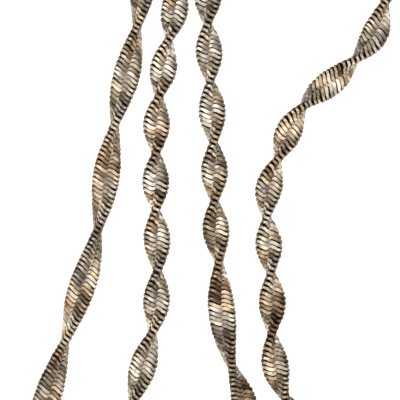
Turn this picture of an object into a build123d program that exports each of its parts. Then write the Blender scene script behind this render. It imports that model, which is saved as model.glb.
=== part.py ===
from build123d import *

import math
import os

# A twisted herringbone chain, closed by its clasp and laid on a flat surface.
# Millimetres. Z is up, the surface is z = 0 and the origin is under the middle of the necklace.

# The woven band, thickest along its middle seam
band_width = 5.1
band_thickness = 1.6
edge_thickness = 1.2
edge_depth = 0.4

# Route of the band over the surface, from the left cap to the right one.
# Columns: x, y
chain_route = [
    (-8.5, 41.3),
    (-8.3, 33.3),
    (-8.6, 25.2),
    (-10.7, 13.7),
    (-12.1, 4.3),
    (-12.4, -5.2),
    (-12.4, -14.7),
    (-12.1, -26.1),
    (-12.7, -36.0),
    (-14.7, -44.0),
    (-16.7, -50.6),
    (-19.4, -61.9),
    (-23.8, -68.9),
    (-30.5, -70.7),
    (-36.1, -66.9),
    (-36.8, -59.9),
    (-33.1, -50.6),
    (-30.3, -41.7),
    (-27.5, -32.6),
    (-24.6, -23.5),
    (-22.7, -14.2),
    (-21.3, -4.8),
    (-19.6, 4.5),
    (-17.3, 13.7),
    (-15.2, 25.2),
    (-14.6, 34.8),
    (-15.8, 42.9),
    (-16.1, 52.2),
    (-11.5, 64.4),
    (-2.1, 72.0),
    (10.3, 74.7),
    (22.5, 72.0),
    (32.3, 64.2),
    (36.9, 51.5),
    (35.9, 38.9),
    (31.3, 25.2),
    (29.1, 18.5),
    (23.0, 11.3),
    (15.8, 5.2),
    (11.4, -3.3),
    (8.8, -12.3),
    (9.1, -21.8),
    (9.7, -31.3),
    (9.8, -40.8),
    (12.3, -50.6),
    (18.5, -57.5),
    (22.9, -64.9),
    (20.9, -72.5),
    (13.9, -75.1),
    (7.5, -71.1),
    (6.0, -62.3),
    (4.2, -50.6),
    (1.7, -43.3),
    (0.1, -33.9),
    (-0.5, -24.4),
    (-1.2, -15.0),
    (-1.3, -5.5),
    (-1.7, 4.0),
    (-2.2, 13.5),
    (-2.5, 25.2),
    (-1.8, 33.8),
    (-0.6, 41.3),
]
first_heading = (0.0, -1.0)
last_heading = (0.14, 1.0)

# Twist between the caps: the length of each half turn, of which only the proportions count.
# The first and the last are half as much, because the band goes into the caps flat.
half_turn_lengths = {
    "down from the left cap": (8.5, 12.2, 10.9, 10.8, 10.8, 11.4, 11.8, 13.9),
    "left turn": (13.7, 13.7, 13.7),
    "up the left strand": (20.8, 21.9, 20.2, 19.2),
    "arch": (19.0, 19.0, 16.0, 16.0, 16.0, 12.8, 12.8, 12.8, 12.8),
    "down the right strand": (12.5, 13.3, 11.1, 11.2, 10.7, 11.5, 12.6),
    "right turn": (15.8, 15.8, 18.8, 18.8),
    "up to the right cap": (19.9, 11.8, 11.1, 11.6, 11.0, 10.2, 7.3),
}
section_step = 2.0

# Share of the fall from the band's height to the eyes' height that is made before the band's end
end_fall_share = 0.3

# End caps, crimped over the ends of the band
cap_wall = 0.35
cap_clearance = 0.3
cap_corner = 0.7
cap_straight = 3.6
cap_taper = 2.4
pocket_depth = 3.2
band_end_gap = 0.2
neck_width = 2.0
neck_thickness = 1.3
neck_corner = 0.4
eye_wire = 0.8
eye_hole = 2.4

# Lobster clasp, lying across the two eyes
clasp_thickness = 1.5
clasp_wall = 1.2
clasp_hole_width = 3.4
clasp_hole_narrow = 1.8
clasp_hole_length = 7.4
clasp_edge = 0.35
tail_wire = 1.0
tail_hole = 2.0
tail_overlap = 0.4
ring_clearance = 0.2
lever_nub = 1.2
lever_nub_place = 0.45

# Middle line of the band: its lower edge touches the surface, and its two ends fall a little to the caps' eyes
band_height = band_width / 2
eye_height = eye_hole / 2 + eye_wire
eye_radius = eye_hole / 2 + eye_wire / 2
cap_reach = pocket_depth - band_end_gap
eye_distance = cap_straight + cap_taper + eye_radius
eye_past_end = eye_distance - cap_reach
end_height = band_height - end_fall_share * (band_height - eye_height)
end_slope = (end_height - eye_height) / eye_past_end
route_points = [Vector(x, y, band_height) for x, y in chain_route]
route_points[0].Z = end_height
route_points[-1].Z = end_height
first_direction = Vector(*first_heading, end_slope).normalized()
last_direction = Vector(*last_heading, -end_slope).normalized()
runs = [end - start for start, end in zip(route_points, route_points[1:])]


def direction_at(index):
    """The way the band runs at a route point: between the runs beside it, nearer to the shorter one's."""
    if index == 0:
        return first_direction
    if index == len(runs):
        return last_direction
    before, after = runs[index - 1 : index + 1]
    share = after.length / (before.length + after.length)
    return before.normalized() * share + after.normalized() * (1 - share)


with BuildLine() as route:
    for index, run in enumerate(runs):
        start, end = route_points[index : index + 2]
        third = run.length / 3
        Bezier(start, start + direction_at(index) * third, end - direction_at(index + 1) * third, end)
middle_line = route.wires()[0]
band_length = middle_line.length

# Stations of the twist: how far along the band, and how many half turns it has made by there
lengths = [length for stretch in half_turn_lengths.values() for length in stretch]
length_scale = (band_length - 2 * pocket_depth) / sum(lengths)
stations = [(pocket_depth, 0.0)]
for number, length in enumerate(lengths, start=1):
    turns = 0.5 if number in (1, len(lengths)) else 1
    distance, made = stations[-1]
    stations.append((distance + length * length_scale, made + turns))


def twist_rate(index):
    """Half turns per millimetre at a station: none at the caps, smooth between unequal steps."""
    if index in (0, len(stations) - 1):
        return 0.0
    before, here, after = stations[index - 1 : index + 2]
    rate_before = (here[1] - before[1]) / (here[0] - before[0])
    rate_after = (after[1] - here[1]) / (after[0] - here[0])
    return 2 * rate_before * rate_after / (rate_before + rate_after)


def half_turns_at(distance):
    """Half turns made by the band at a distance from its start."""
    if distance <= stations[0][0]:
        return stations[0][1]
    if distance >= stations[-1][0]:
        return stations[-1][1]
    index = max(i for i, station in enumerate(stations) if station[0] <= distance)
    (start, made), (end, made_next) = stations[index : index + 2]
    span = end - start
    share = (distance - start) / span
    return (
        made
        + (made_next - made) * share * share * (3 - 2 * share)
        + twist_rate(index) * span * share * (1 - share) ** 2
        - twist_rate(index + 1) * span * share * share * (1 - share)
    )


def band_plane(distance):
    """Plane across the band at a distance from its start: x along its width, z along its length."""
    origin = middle_line.position_at(distance, position_mode=PositionMode.LENGTH)
    ahead = middle_line.tangent_at(distance, position_mode=PositionMode.LENGTH)
    level = ahead.cross(Vector(0, 0, 1)).normalized()
    angle = math.pi * half_turns_at(distance)
    across = level * math.cos(angle) + ahead.cross(level) * math.sin(angle)
    return Plane(origin=origin, x_dir=across, z_dir=ahead)


# The chain: one twisted band, lofted through its section at even steps, with one more step in each cap's pocket
half_width = band_width / 2
shoulder = half_width - edge_depth
twisted_length = band_length - 2 * pocket_depth
section_count = math.ceil(twisted_length / section_step)
section_places = [pocket_depth + twisted_length * number / section_count for number in range(section_count + 1)]
section_places = [0, pocket_depth / 2, *section_places, band_length - pocket_depth / 2, band_length]
with BuildPart() as chain_band:
    for distance in section_places:
        with BuildSketch(band_plane(distance)):
            with BuildLine():
                Polyline(
                    (half_width, 0),
                    (shoulder, edge_thickness / 2),
                    (0, band_thickness / 2),
                    (-shoulder, edge_thickness / 2),
                    (-half_width, 0),
                    (-shoulder, -edge_thickness / 2),
                    (0, -band_thickness / 2),
                    (shoulder, -edge_thickness / 2),
                    close=True,
                )
            make_face()
    loft()
chain_band.part.label = "chain_band"


# End caps: a flat cup that tapers to a neck with an upright eye
pocket_width = band_width + 2 * cap_clearance
pocket_thickness = band_thickness + 2 * cap_clearance
cap_width = pocket_width + 2 * cap_wall
cap_thickness = pocket_thickness + 2 * cap_wall


def cap_mouth(end, outward):
    """Plane of a cap's mouth: z points away from the band, x across it."""
    direction = outward.normalized()
    return Plane(origin=end - direction * cap_reach, x_dir=direction.cross(Vector(0, 0, 1)), z_dir=direction)


def eye_centre(mouth):
    return mouth.origin + mouth.z_dir * eye_distance


def make_end_cap(mouth):
    """One cap with its pocket and its soldered eye."""
    with BuildPart() as cap:
        with BuildSketch(mouth):
            RectangleRounded(cap_width, cap_thickness, cap_corner)
        extrude(amount=cap_straight)
        with BuildSketch(mouth.offset(cap_straight)):
            RectangleRounded(cap_width, cap_thickness, cap_corner)
        with BuildSketch(mouth.offset(cap_straight + cap_taper)):
            RectangleRounded(neck_width, neck_thickness, neck_corner)
        loft()
        with BuildSketch(mouth):
            Rectangle(pocket_width, pocket_thickness)
        extrude(amount=pocket_depth, mode=Mode.SUBTRACT)
        with BuildSketch(Plane(origin=eye_centre(mouth), x_dir=mouth.z_dir, z_dir=mouth.y_dir)):
            with Locations((eye_radius, 0)):
                Circle(eye_wire / 2)
        revolve(axis=Axis(eye_centre(mouth), mouth.x_dir))
    return cap


left_mouth = cap_mouth(route_points[0], -first_direction)
right_mouth = cap_mouth(route_points[-1], last_direction)
end_cap_left = make_end_cap(left_mouth)
end_cap_left.part.label = "end_cap_left"
end_cap_right = make_end_cap(right_mouth)
end_cap_right.part.label = "end_cap_right"

# The clasp's tail ring hangs on the left eye, and one side of its hook goes through the right eye
narrow_radius = clasp_hole_narrow / 2
wide_radius = clasp_hole_width / 2
tail_radius = tail_hole / 2 + tail_wire / 2
narrow_centre = tail_hole / 2 + tail_wire - tail_overlap + clasp_wall + narrow_radius
wide_centre = narrow_centre + clasp_hole_length - narrow_radius - wide_radius
side_slant = math.asin((wide_radius - narrow_radius) / (wide_centre - narrow_centre))
nub_x = narrow_centre + lever_nub_place * (wide_centre - narrow_centre)
nub_y = narrow_radius + lever_nub_place * (wide_radius - narrow_radius) + clasp_wall
side_offset = narrow_radius + clasp_wall / 2 - narrow_centre * math.sin(side_slant)
clasp_height = eye_wire + ring_clearance + clasp_thickness / 2

left_eye = eye_centre(left_mouth)
right_eye = eye_centre(right_mouth)
tail_centre = left_eye + left_mouth.z_dir * (eye_radius + ring_clearance)
tail_centre = Vector(tail_centre.X, tail_centre.Y, clasp_height)
reach = Vector(right_eye.X - tail_centre.X, right_eye.Y - tail_centre.Y)
clasp_angle = math.atan2(reach.Y, reach.X) + math.asin(side_offset / reach.length) + side_slant
clasp_forward = Vector(math.cos(clasp_angle), math.sin(clasp_angle), 0)
clasp_plane = Plane(origin=tail_centre, x_dir=clasp_forward, z_dir=(0, 0, 1))

with BuildPart() as lobster_clasp:
    with BuildSketch(clasp_plane.offset(-clasp_thickness / 2)):
        with Locations((narrow_centre, 0)):
            Circle(narrow_radius + clasp_wall)
        with Locations((wide_centre, 0)):
            Circle(wide_radius + clasp_wall)
        make_hull()
    extrude(amount=clasp_thickness)
    with BuildSketch(clasp_plane.offset(-clasp_thickness / 2)):
        with Locations((narrow_centre, 0)):
            Circle(narrow_radius)
        with Locations((wide_centre, 0)):
            Circle(wide_radius)
        make_hull()
    extrude(amount=clasp_thickness, mode=Mode.SUBTRACT)
    fillet(lobster_clasp.edges().filter_by(Plane.XY), radius=clasp_edge)
    with BuildSketch(clasp_plane.offset(clasp_edge - clasp_thickness / 2)):
        with Locations((nub_x, nub_y)):
            Circle(lever_nub / 2)
    extrude(amount=clasp_thickness - 2 * clasp_edge)
    with BuildSketch(Plane(origin=tail_centre, x_dir=clasp_forward, z_dir=clasp_plane.y_dir)):
        with Locations((tail_radius, 0)):
            Circle(tail_wire / 2)
    revolve(axis=Axis(tail_centre, (0, 0, 1)))
lobster_clasp.part.label = "lobster_clasp"

os.makedirs("parts", exist_ok=True)
for piece in (chain_band, end_cap_left, end_cap_right, lobster_clasp):
    export_step(piece.part, f"parts/{piece.part.label}.step")

print("band length", round(band_length, 1))
print("necklace length", round(band_length + 2 * (eye_distance - cap_reach) + reach.length, 1))
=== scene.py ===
import math

import bmesh
import bpy
import numpy as np
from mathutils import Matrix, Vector
from mathutils.geometry import interpolate_bezier


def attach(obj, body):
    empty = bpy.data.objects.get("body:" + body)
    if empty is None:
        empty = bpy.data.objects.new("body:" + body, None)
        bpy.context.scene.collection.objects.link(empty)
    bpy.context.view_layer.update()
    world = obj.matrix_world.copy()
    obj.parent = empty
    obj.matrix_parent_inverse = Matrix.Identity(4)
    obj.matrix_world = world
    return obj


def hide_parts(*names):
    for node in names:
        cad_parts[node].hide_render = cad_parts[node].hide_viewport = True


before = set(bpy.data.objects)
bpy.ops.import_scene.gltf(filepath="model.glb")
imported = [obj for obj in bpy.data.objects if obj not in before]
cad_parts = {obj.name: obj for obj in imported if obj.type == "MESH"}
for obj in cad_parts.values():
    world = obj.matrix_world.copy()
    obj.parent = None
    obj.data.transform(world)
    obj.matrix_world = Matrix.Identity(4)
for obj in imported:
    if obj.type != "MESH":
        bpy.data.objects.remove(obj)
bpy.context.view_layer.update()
scene = bpy.context.scene
print("frame loaded")

# the way the band runs over the surface, the same points as the solid's, in metres: x, y
bandRoute = {
    "points": [
        (-0.0085, 0.0413), (-0.0083, 0.0333), (-0.0086, 0.0252), (-0.0107, 0.0137), (-0.0121, 0.0043),
        (-0.0124, -0.0052), (-0.0124, -0.0147), (-0.0121, -0.0261), (-0.0127, -0.0360), (-0.0147, -0.0440),
        (-0.0167, -0.0506), (-0.0194, -0.0619), (-0.0238, -0.0689), (-0.0305, -0.0707), (-0.0361, -0.0669),
        (-0.0368, -0.0599), (-0.0331, -0.0506), (-0.0303, -0.0417), (-0.0275, -0.0326), (-0.0246, -0.0235),
        (-0.0227, -0.0142), (-0.0213, -0.0048), (-0.0196, 0.0045), (-0.0173, 0.0137), (-0.0152, 0.0252),
        (-0.0146, 0.0348), (-0.0158, 0.0429), (-0.0161, 0.0522), (-0.0115, 0.0644), (-0.0021, 0.0720),
        (0.0103, 0.0747), (0.0225, 0.0720), (0.0323, 0.0642), (0.0369, 0.0515), (0.0359, 0.0389),
        (0.0313, 0.0252), (0.0291, 0.0185), (0.0230, 0.0113), (0.0158, 0.0052), (0.0114, -0.0033),
        (0.0088, -0.0123), (0.0091, -0.0218), (0.0097, -0.0313), (0.0098, -0.0408), (0.0123, -0.0506),
        (0.0185, -0.0575), (0.0229, -0.0649), (0.0209, -0.0725), (0.0139, -0.0751), (0.0075, -0.0711),
        (0.0060, -0.0623), (0.0042, -0.0506), (0.0017, -0.0433), (0.0001, -0.0339), (-0.0005, -0.0244),
        (-0.0012, -0.0150), (-0.0013, -0.0055), (-0.0017, 0.0040), (-0.0022, 0.0135), (-0.0025, 0.0252),
        (-0.0018, 0.0338), (-0.0006, 0.0413),
    ],
    "firstHeading": (0.0, -1.0),
    "lastHeading": (0.14, 1.0),
    "height": 0.00255,        # middle of the band above the surface
    "endHeight": 0.00239,     # and at its two ends, in the caps
    "endSlope": 0.0837,       # fall towards the caps' eyes
    "endLength": 0.0032,      # flat stretch inside each cap
    "stepsPerRun": 40,        # from one point to the next
    "twistStep": 0.0005,      # over which the rate of the twist is measured
    # length of each half turn in millimetres, of which only the proportions count; the first and last
    # are half as much
    "halfTurns": (
        8.5, 12.2, 10.9, 10.8, 10.8, 11.4, 11.8, 13.9,
        13.7, 13.7, 13.7,
        20.8, 21.9, 20.2, 19.2,
        19.0, 19.0, 16.0, 16.0, 16.0, 12.8, 12.8, 12.8, 12.8,
        12.5, 13.3, 11.1, 11.2, 10.7, 11.5, 12.6,
        15.8, 15.8, 18.8, 18.8,
        19.9, 11.8, 11.1, 11.6, 11.0, 10.2, 7.3,
    ),
}


# points along the middle of the band
def routeLine():
    points = [Vector((x, y, bandRoute["height"])) for x, y in bandRoute["points"]]
    points[0].z = points[-1].z = bandRoute["endHeight"]
    headings = []
    for i in range(len(points)):
        if i == 0:
            headings.append(Vector((*bandRoute["firstHeading"], bandRoute["endSlope"])).normalized())
        elif i == len(points) - 1:
            headings.append(Vector((*bandRoute["lastHeading"], -bandRoute["endSlope"])).normalized())
        else:
            before, after = points[i] - points[i - 1], points[i + 1] - points[i]
            share = after.length / (before.length + after.length)  # nearer to the shorter run's direction
            headings.append(before.normalized() * share + after.normalized() * (1 - share))
    line = []
    for i in range(len(points) - 1):
        third = (points[i + 1] - points[i]).length / 3
        run = interpolate_bezier(points[i], points[i] + headings[i] * third,
                                 points[i + 1] - headings[i + 1] * third, points[i + 1],
                                 bandRoute["stepsPerRun"] + 1)
        line += run if i == 0 else run[1:]
    return np.array(line)


middleLine = routeLine()
lineSteps = np.linalg.norm(np.diff(middleLine, axis=0), axis=1)
lineDistances = np.concatenate(([0], np.cumsum(lineSteps)))
bandLength = lineDistances[-1]
lineHeadings = np.gradient(middleLine, lineDistances, axis=0)
print("band length in mm", round(bandLength * 1000, 1))


# half turns that the band has made at each distance from its start, with a smooth change of pace
def halfTurnsAt(distances):
    lengths = np.array(bandRoute["halfTurns"])
    turns = np.ones(len(lengths))
    turns[0] = turns[-1] = 0.5
    flat = bandRoute["endLength"]
    places = flat + np.concatenate(([0], np.cumsum(lengths))) * (bandLength - 2 * flat) / lengths.sum()
    made = np.concatenate(([0], np.cumsum(turns)))
    rates = turns / np.diff(places)
    slopes = np.concatenate(([0], 2 * rates[1:] * rates[:-1] / (rates[1:] + rates[:-1]), [0]))
    within = np.clip(distances, places[0], places[-1])
    i = np.clip(np.searchsorted(places, within, side="right") - 1, 0, len(turns) - 1)
    span = places[i + 1] - places[i]
    t = (within - places[i]) / span
    return (made[i] + turns[i] * t * t * (3 - 2 * t)
            + slopes[i] * span * t * (1 - t) ** 2 - slopes[i + 1] * span * t * t * (1 - t))


# radians that the band turns in a metre, at each distance from its start
def twistAt(distances):
    step = bandRoute["twistStep"]
    turned = halfTurnsAt(distances + step) - halfTurnsAt(distances - step)
    return math.pi * turned / (2 * step)


# points in space from places on the flat band: across it, along it and above its middle
def onBand(across, along, above):
    def at(table):
        return np.stack([np.interp(along, lineDistances, table[:, k]) for k in range(3)], axis=-1)

    centre, ahead = at(middleLine), at(lineHeadings)
    past = along - np.clip(along, 0, bandLength)
    centre = centre + ahead * past[..., None]
    ahead /= np.linalg.norm(ahead, axis=-1, keepdims=True)
    level = np.cross(ahead, (0, 0, 1))
    level /= np.linalg.norm(level, axis=-1, keepdims=True)
    angle = np.pi * halfTurnsAt(along)[..., None]
    side = level * np.cos(angle) + np.cross(ahead, level) * np.sin(angle)
    up = np.cross(side, ahead)
    return centre + side * across[..., None] + up * above[..., None]


# one half link: a flattened wire that starts at the seam on one face of the band, runs outwards,
# turns round the band's edge and ends at the seam on the other face
link = {
    "pitch": 0.00082,         # from one row to the next
    "fall": 0.4,              # slope of a bar across the band
    "bend": 1.63,             # the bars are steeper towards the edges
    "hookRise": 0.00018,      # the bars right of a seam start with a small hook
    "hookWidth": 0.0005,
    "rowsRound": 2.7,         # rows from the seam on one face to the seam on the other
    "stagger": 0.72,          # of a row, between the bars left and right of a seam
    "lean": 0.3,              # slant of a bar's top: lower side up left of a seam, upper side up right of it
    "shoulder": 0.00184,      # where the wire turns round the edge
    "edgeRadius": 0.00066,
    "ridge": 0.00064,         # middle of the wire above the band's middle at the seam
    "crown": 1.6,             # how late it goes over from that height to the edge's
    # along a bar from its tip: place across the band, share of the full width, how far it goes under
    "bar": ((0.00015, 0.5, 0.0002), (-0.00012, 0.93, 0.00003), (-0.0005, 0.95, 0.0),
            (-0.0012, 0.89, 0.0), (-0.00178, 0.8, 0.0)),
    # round the edge: degrees above the band's middle, share of the full width
    "edge": ((42, 0.74), (0, 0.68), (-42, 0.74)),
    # the wire's section has three widths: its flat face, its sides and its foot
    "faceWidth": 0.00061,
    "barWidth": 0.00071,
    "footWidth": 0.00079,
    "faceHeight": 0.00012,
    "sideHeight": 0.00005,
    "edgeDepth": 0.00034,
    # painted shade on the wire, how dark it is from 0 on its face to 1 at its foot
    "sideShade": 0.1,
    "riserShade": 0.42,       # down the raised side of each bar
    "edgeShade": 0.32,        # round the band's edge
    "sharpAngle": 38,
    "roll": 0.1,              # unevenness of the rows, in radians
    "shift": 0.00002,         # across the band and above it
    "slip": 0.00004,          # and along it
    "seed": 11,
}


# how far along the band a bar lies at a place across it
def waveAt(across, hooked):
    hook = link["hookRise"] * max(0, 1 + across / link["hookWidth"]) ** 2 if hooked else 0
    return hook - link["fall"] * across * (abs(across) / link["shoulder"]) ** (link["bend"] - 1)


# middle of the wire above the band's middle
def wireHeight(across):
    share = np.clip(abs(across) / link["shoulder"], 0, 1) ** link["crown"]
    return link["ridge"] + (link["edgeRadius"] - link["ridge"]) * share


# stations of the half link: place, outward direction, width share, depth, slant and painted shade
def linkPath():
    total = link["rowsRound"] * link["pitch"]
    step = 1e-6
    front, back = [], []
    for across, share, dip in link["bar"]:
        height = wireHeight(across) - dip
        slope = (wireHeight(across + step) - wireHeight(across - step)) / (2 * step)
        out = Vector((-slope, 0, 1)).normalized()
        over = Vector((across, waveAt(across, False), height))
        front.append((over, out, share, height, -link["lean"], 0))
        under = Vector((across, total - waveAt(across, True), -height))
        back.append((under, Vector((out.x, 0, -out.z)), share, height, link["lean"], 0))
    edge = []
    start, end = waveAt(-link["shoulder"], False), total - waveAt(-link["shoulder"], True)
    for angle, share in link["edge"]:
        turn = math.radians(angle)
        out = Vector((-math.cos(turn), 0, math.sin(turn)))
        middle = Vector((-link["shoulder"], start + (end - start) * (90 - angle) / 180, 0))
        here = middle + out * link["edgeRadius"]
        lean = -link["lean"] * angle / 90
        edge.append((here, out, share, link["edgeDepth"], lean, link["edgeShade"]))
    return front + edge + back[::-1]


# the half link as a mesh: a section of six corners, extruded from station to station
def makeLink():
    stations = linkPath()
    bm = bmesh.new()
    paintedShadeLayer = bm.verts.layers.float.new("depth")
    centreLayer = bm.verts.layers.float_vector.new("centre")
    aheadLayer = bm.verts.layers.float_vector.new("ahead")
    ring = bmesh.ops.create_circle(bm, cap_ends=True, segments=6, radius=link["barWidth"] / 2)["verts"]

    def place(verts, i):
        here, out, share, depth, lean, shade = stations[i]
        ahead = (stations[min(i + 1, len(stations) - 1)][0] - stations[max(i - 1, 0)][0]).normalized()
        across = ahead.cross(out).normalized()
        # half width, height and painted shade of the section's corners down one side
        flank = ((link["faceWidth"] * share / 2, link["faceHeight"], 0.0),
                 (link["barWidth"] * share / 2, link["sideHeight"], link["sideShade"]),
                 (link["footWidth"] * share / 2, -depth, 1.0))
        corners = flank + tuple((-wide, high, deep) for wide, high, deep in reversed(flank))
        for vert, (sideways, outwards, deep) in zip(verts, corners):
            slant = lean * sideways * (1 - deep)
            vert.co = here + across * sideways + out * (outwards + slant)
            # each corner's painted shade, deeper down the raised side of a bar
            raised = 0 < deep < 1 and lean * sideways > 0
            vert[paintedShadeLayer] = max(deep, shade, link["riserShade"] if raised else 0)
            vert[centreLayer] = here
            vert[aheadLayer] = ahead

    place(ring, 0)
    cap = ring[0].link_faces[0]
    for i in range(1, len(stations)):
        # the first cap stays as the wire's end, the ones between go
        made = bmesh.ops.extrude_face_region(bm, geom=[cap, *cap.edges], use_keep_orig=(i == 1))["geom"]
        cap = [g for g in made if isinstance(g, bmesh.types.BMFace) and len(g.verts) == len(ring)][-1]
        # each new corner still lies on its old one, which keeps the order of the ring
        ring = [min(cap.verts, key=lambda v: (v.co - old.co).length) for old in ring]
        place(ring, i)
    bmesh.ops.recalc_face_normals(bm, faces=bm.faces)
    return bm


# the half link's corners, what it turns about at each of them, how much painted shade they carry, and its
# faces
def linkArrays():
    bm = makeLink()
    bm.verts.index_update()
    table = {"places": np.array([v.co[:] for v in bm.verts])}
    for name in ("centre", "ahead"):
        layer = bm.verts.layers.float_vector[name]
        table[name] = np.array([v[layer][:] for v in bm.verts])
    layer = bm.verts.layers.float["depth"]
    table["depth"] = np.array([v[layer] for v in bm.verts])
    table["faces"] = [[v.index for v in f.verts] for f in bm.faces]
    bm.free()
    print("half link:", len(table["places"]), "corners,", len(table["faces"]), "faces")
    return table


# warm silver, linear colours
silver = {
    # one link's colour, by its warmth
    "colours": ((0.0, (0.66, 0.63, 0.59)), (0.3, (0.88, 0.83, 0.76)), (0.55, (0.96, 0.9, 0.79)),
                (0.75, (0.9, 0.75, 0.54)), (0.9, (0.8, 0.63, 0.5)), (1.0, (0.5, 0.35, 0.24))),
    # and how bright it is, by its tone
    "tones": ((0.12, (0.26, 0.24, 0.22)), (0.45, (0.68, 0.66, 0.64)), (0.8, (1.0, 1.0, 1.0))),
    "ownShare": 0.4,          # of a link's tone and warmth, the rest is shared with its neighbours
    "patchRows": 5,
    # how brown the band has gone, by the distance along it
    "aged": ((0.0, 0.0), (0.035, -0.3), (0.06, 0.0), (0.1, 0.1), (0.14, 0.4), (0.22, 0.6), (0.3, 0.4),
             (0.36, 0.4), (0.376, 1.0), (0.39, 0.5), (0.404, 0.2), (0.418, 1.0), (0.44, 1.0), (0.48, 0.6),
             (0.525, 0.6), (0.55, -0.3), (0.592, -0.3)),
    "agedTone": -0.1,
    "agedWarmth": 0.16,
    # painted shade: the colour of the gaps, and where on the wire it starts and is full
    "paintedGapShade": (0.19, 0.123, 0.075, 1),
    "paintedShadeLimits": (0.2, 0.6),  # where the gap's colour starts and is full
    "roughness": (0.18, 0.38),
    "grainScale": 3500,
    "grainDetail": 3,
    "bumpStrength": 0.25,
    "bumpHeight": 0.00004,
    "cap": (0.62, 0.55, 0.46, 1),
    "capRoughness": (0.15, 0.32),
    "capGrainScale": 900,
}


def addNode(tree, kind, **values):
    node = tree.nodes.new(kind)
    for key, value in values.items():
        setattr(node, key, value)
    return node


def addRamp(tree, stops):
    ramp = addNode(tree, "ShaderNodeValToRGB")
    elements = ramp.color_ramp.elements
    for number, (position, colour) in enumerate(stops):
        stop = elements[number] if number < 2 else elements.new(position)
        stop.position = position
        stop.color = (*colour, 1)
    return ramp


# polished flattened wire, with painted shade down the sides of each link
def linkMetal():
    material = bpy.data.materials.new("chain metal")
    material.use_nodes = True
    tree = material.node_tree
    join = tree.links.new
    shader = tree.nodes["Principled BSDF"]
    shader.inputs["Metallic"].default_value = 1.0
    # each link's own colour
    tone = addNode(tree, "ShaderNodeAttribute", attribute_name="tone")
    warmth = addNode(tree, "ShaderNodeAttribute", attribute_name="warmth")
    toneRamp = addRamp(tree, silver["tones"])
    join(tone.outputs["Fac"], toneRamp.inputs["Fac"])
    colourRamp = addRamp(tree, silver["colours"])
    join(warmth.outputs["Fac"], colourRamp.inputs["Fac"])
    ownColour = addNode(tree, "ShaderNodeMix", data_type="RGBA", blend_type="MULTIPLY")
    ownColour.inputs["Factor"].default_value = 1
    join(colourRamp.outputs["Color"], ownColour.inputs["A"])
    join(toneRamp.outputs["Color"], ownColour.inputs["B"])
    # painted shade down the wires' sides and in the gaps
    depth = addNode(tree, "ShaderNodeAttribute", attribute_name="depth")
    paintedShadeRange = addNode(tree, "ShaderNodeMapRange")
    paintedShadeRange.inputs["From Min"].default_value, paintedShadeRange.inputs["From Max"].default_value = silver["paintedShadeLimits"]
    join(depth.outputs["Fac"], paintedShadeRange.inputs["Value"])
    paintedShadeMix = addNode(tree, "ShaderNodeMix", data_type="RGBA")
    paintedShadeMix.inputs["B"].default_value = silver["paintedGapShade"]
    join(paintedShadeRange.outputs["Result"], paintedShadeMix.inputs["Factor"])
    join(ownColour.outputs["Result"], paintedShadeMix.inputs["A"])
    join(paintedShadeMix.outputs["Result"], shader.inputs["Base Color"])
    # fine wear
    place = addNode(tree, "ShaderNodeTexCoord")
    grain = addNode(tree, "ShaderNodeTexNoise")
    grain.inputs["Scale"].default_value = silver["grainScale"]
    grain.inputs["Detail"].default_value = silver["grainDetail"]
    join(place.outputs["Object"], grain.inputs["Vector"])
    rough = addNode(tree, "ShaderNodeMapRange")
    rough.inputs["To Min"].default_value, rough.inputs["To Max"].default_value = silver["roughness"]
    join(grain.outputs["Fac"], rough.inputs["Value"])
    join(rough.outputs["Result"], shader.inputs["Roughness"])
    bump = addNode(tree, "ShaderNodeBump")
    bump.inputs["Strength"].default_value = silver["bumpStrength"]
    bump.inputs["Distance"].default_value = silver["bumpHeight"]
    join(grain.outputs["Fac"], bump.inputs["Height"])
    join(bump.outputs["Normal"], shader.inputs["Normal"])
    return material


# one number from 0 to 1 for each link, partly shared over a few rows
def tones(count, rng):
    alone = rng.random(count)
    patchRows = np.arange(0, count + silver["patchRows"], silver["patchRows"])
    patches = np.interp(np.arange(count), patchRows, rng.random(len(patchRows)))
    return silver["ownShare"] * alone + (1 - silver["ownShare"]) * patches


def addAttribute(mesh, name, values):
    mesh.attributes.new(name, "FLOAT", "POINT").data.foreach_set("value", values)


# all half links along one edge of the band, as one mesh; the other edge's are turned over
def makeRows(name, material, table, turned):
    rng = np.random.default_rng(link["seed"] + turned)
    count = int(bandLength / link["pitch"])
    stagger = (link["stagger"] - link["rowsRound"]) % 1 if turned else 0
    starts = (np.arange(count) + 0.5 + stagger - link["rowsRound"] / 2) * link["pitch"]
    rolls = rng.normal(0, link["roll"], (count, 1, 1))
    shifts = rng.normal(0, link["shift"], (count, 1, 2))
    slips = rng.normal(0, link["slip"], (count, 1))
    away = table["places"] - table["centre"]
    places = table["centre"] + away * np.cos(rolls) + np.cross(table["ahead"], away) * np.sin(rolls)
    if turned:
        places = places * (-1, 1, -1)
    # the twist stretches the band towards its edges, and the wires keep their width there
    across = places[..., 0] + shifts[..., 0]
    centres = table["centre"][:, 1] + starts[:, None]
    spread = np.sqrt(1 + (across * twistAt(starts)[:, None]) ** 2)
    along = centres + slips + (places[..., 1] - table["centre"][:, 1]) / spread
    above = places[..., 2] + shifts[..., 1]
    points = onBand(across, along, above).reshape(-1, 3)
    size = len(away)
    mesh = bpy.data.meshes.new(name)
    allFaces = [[corner + size * k for corner in face] for k in range(count) for face in table["faces"]]
    mesh.from_pydata(points.tolist(), [], allFaces)
    # each corner's painted shade
    addAttribute(mesh, "depth", np.tile(table["depth"], count))
    aged = np.interp(starts, *np.transpose(silver["aged"]))
    for look, change in (("tone", silver["agedTone"]), ("warmth", silver["agedWarmth"])):
        addAttribute(mesh, look, np.repeat(tones(count, rng) + change * aged, size))
    mesh.shade_smooth()
    mesh.set_sharp_from_angle(angle=math.radians(link["sharpAngle"]))
    mesh.materials.append(material)
    piece = bpy.data.objects.new(name, mesh)
    scene.collection.objects.link(piece)
    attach(piece, "root")
    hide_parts("chain_band")
    mesh.calc_loop_triangles()
    print(name, len(mesh.loop_triangles), "triangles")


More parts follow.
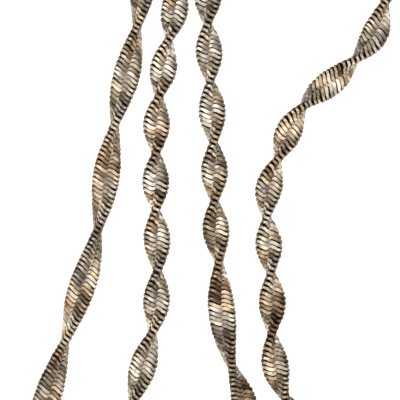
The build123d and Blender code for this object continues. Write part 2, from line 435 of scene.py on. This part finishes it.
chainMetal = linkMetal()
halfLink = linkArrays()
makeRows("links_one_edge", chainMetal, halfLink, 0)
makeRows("links_other_edge", chainMetal, halfLink, 1)


# the wires' hidden inner ends, as one flat strip inside the band, coloured all over with the gaps' painted
# shade
core = {
    "halfWidth": 0.0019,
    "halfHeight": 0.00028,
    "stations": 600,
}


def makeCore():
    bm = bmesh.new()
    wide, high = core["halfWidth"], core["halfHeight"]
    corners = ((wide, 0), (0, high), (-wide, 0), (0, -high))
    along = np.linspace(0, bandLength, core["stations"])
    sections = [onBand(np.full(len(along), across), along, np.full(len(along), above))
                for across, above in corners]
    ring = [bm.verts.new(section[0]) for section in sections]
    face = bm.faces.new(ring)
    for i in range(1, len(along)):
        made = bmesh.ops.extrude_face_region(bm, geom=[face, *face.edges], use_keep_orig=(i == 1))["geom"]
        face = [g for g in made if isinstance(g, bmesh.types.BMFace) and len(g.verts) == len(ring)][-1]
        # each new corner still lies on its old one
        ring = [min(face.verts, key=lambda v: (v.co - Vector(section[i - 1])).length)
                for section in sections]
        for vert, section in zip(ring, sections):
            vert.co = section[i]
    bmesh.ops.recalc_face_normals(bm, faces=bm.faces)
    mesh = bpy.data.meshes.new("inner_wires_painted_shade")
    bm.to_mesh(mesh)
    bm.free()
    mesh.materials.append(chainMetal)
    # painted shade all over, at its darkest
    for name, value in (("depth", 1.0), ("tone", 0.0), ("warmth", 0.0)):
        addAttribute(mesh, name, np.full(len(mesh.vertices), value))
    piece = bpy.data.objects.new("inner_wires_painted_shade", mesh)
    scene.collection.objects.link(piece)
    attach(piece, "root")
    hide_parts("chain_band")
    print("inner wires", len(mesh.polygons), "faces")


makeCore()


# plain polished metal for the caps and the clasp
def capMetal():
    material = bpy.data.materials.new("cap metal")
    material.use_nodes = True
    tree = material.node_tree
    join = tree.links.new
    shader = tree.nodes["Principled BSDF"]
    shader.inputs["Metallic"].default_value = 1.0
    shader.inputs["Base Color"].default_value = silver["cap"]
    place = addNode(tree, "ShaderNodeTexCoord")
    grain = addNode(tree, "ShaderNodeTexNoise")
    grain.inputs["Scale"].default_value = silver["capGrainScale"]
    join(place.outputs["Object"], grain.inputs["Vector"])
    rough = addNode(tree, "ShaderNodeMapRange")
    rough.inputs["To Min"].default_value, rough.inputs["To Max"].default_value = silver["capRoughness"]
    join(grain.outputs["Fac"], rough.inputs["Value"])
    join(rough.outputs["Result"], shader.inputs["Roughness"])
    return material


plainMetal = capMetal()
for name in ("end_cap_left", "end_cap_right", "lobster_clasp"):
    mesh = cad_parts[name].data
    mesh.materials.clear()
    mesh.materials.append(plainMetal)
print("caps and clasp finished")

studio = {
    "floor": (0.5, 0.5, 0.5, 1),
    "floorSize": 1.5,
    "floorRoughness": 0.9,
    "glow": 1.0,                 # the table is lit from below
    # light from all round, by the share of the way from straight down to straight up
    "rings": ((0.0, (0.73, 0.69, 0.63)), (0.48, (0.73, 0.69, 0.63)), (0.52, (0.45, 0.39, 0.32)),
              (0.72, (0.45, 0.39, 0.32)), (0.88, (1.03, 0.98, 0.92)), (1.0, (1.11, 1.07, 1.01))),
    "corners": -0.8,             # brighter towards two opposite corners, darker towards the other two
    "sides": (0.15, -0.6, 0.0),  # and brighter towards the lower side of the view
    # soft patches of brighter and darker light
    "patches": (0.3, 1.9),
    "patchRange": (0.35, 0.65),
    "patchScale": 3.2,
    "patchPlace": 2.0,
    "viewCentre": (-0.00402, -0.0128),
    "viewWidth": 0.076,
    "cameraHeight": 0.6,
    "sensor": 36.0,
}


def makeFloor():
    bm = bmesh.new()
    bmesh.ops.create_grid(bm, x_segments=1, y_segments=1, size=studio["floorSize"])
    mesh = bpy.data.meshes.new("floor")
    bm.to_mesh(mesh)
    bm.free()
    floor = bpy.data.objects.new("floor", mesh)
    scene.collection.objects.link(floor)
    material = bpy.data.materials.new("pale floor")
    material.use_nodes = True
    shader = material.node_tree.nodes["Principled BSDF"]
    shader.inputs["Base Color"].default_value = studio["floor"]
    shader.inputs["Roughness"].default_value = studio["floorRoughness"]
    shader.inputs["Emission Color"].default_value = (1, 1, 1, 1)
    shader.inputs["Emission Strength"].default_value = studio["glow"]
    mesh.materials.append(material)
    floor.visible_glossy = False


# a bright softbox overhead, darker walls and the light of the pale table from below
def makeWorld():
    world = bpy.data.worlds.new("studio")
    scene.world = world
    world.use_nodes = True
    tree = world.node_tree
    join = tree.links.new
    place = addNode(tree, "ShaderNodeTexCoord")
    parts = addNode(tree, "ShaderNodeSeparateXYZ")
    join(place.outputs["Generated"], parts.inputs["Vector"])
    # colour by height
    height = addNode(tree, "ShaderNodeMapRange")
    height.inputs["From Min"].default_value = -1
    ramp = addRamp(tree, studio["rings"])
    join(parts.outputs["Z"], height.inputs["Value"])
    join(height.outputs["Result"], ramp.inputs["Fac"])
    # strength by direction: corners, sides and patches
    product = addNode(tree, "ShaderNodeMath", operation="MULTIPLY")
    join(parts.outputs["X"], product.inputs[0])
    join(parts.outputs["Y"], product.inputs[1])
    corner = addNode(tree, "ShaderNodeMath", operation="MULTIPLY_ADD")
    corner.inputs[1].default_value = studio["corners"]
    corner.inputs[2].default_value = 1
    join(product.outputs["Value"], corner.inputs[0])
    side = addNode(tree, "ShaderNodeVectorMath", operation="DOT_PRODUCT")
    side.inputs[1].default_value = studio["sides"]
    join(place.outputs["Generated"], side.inputs[0])
    both = addNode(tree, "ShaderNodeMath", operation="ADD")
    join(corner.outputs["Value"], both.inputs[0])
    join(side.outputs["Value"], both.inputs[1])
    noise = addNode(tree, "ShaderNodeTexNoise", noise_dimensions="4D")
    noise.inputs["W"].default_value = studio["patchPlace"]
    noise.inputs["Scale"].default_value = studio["patchScale"]
    noise.inputs["Detail"].default_value = 0
    join(place.outputs["Generated"], noise.inputs["Vector"])
    patch = addNode(tree, "ShaderNodeMapRange")
    patch.inputs["From Min"].default_value, patch.inputs["From Max"].default_value = studio["patchRange"]
    patch.inputs["To Min"].default_value, patch.inputs["To Max"].default_value = studio["patches"]
    join(noise.outputs["Fac"], patch.inputs["Value"])
    strength = addNode(tree, "ShaderNodeMath", operation="MULTIPLY")
    join(both.outputs["Value"], strength.inputs[0])
    join(patch.outputs["Result"], strength.inputs[1])
    join(ramp.outputs["Color"], tree.nodes["Background"].inputs["Color"])
    join(strength.outputs["Value"], tree.nodes["Background"].inputs["Strength"])


makeFloor()
makeWorld()

# the camera looks straight down
cameraData = bpy.data.cameras.new("camera")
cameraData.sensor_width = studio["sensor"]
cameraData.lens = studio["sensor"] * (studio["cameraHeight"] - bandRoute["height"]) / studio["viewWidth"]
camera = bpy.data.objects.new("camera", cameraData)
camera.location = (*studio["viewCentre"], studio["cameraHeight"])
scene.collection.objects.link(camera)
scene.camera = camera
scene.view_settings.view_transform = "Standard"
print("studio ready")
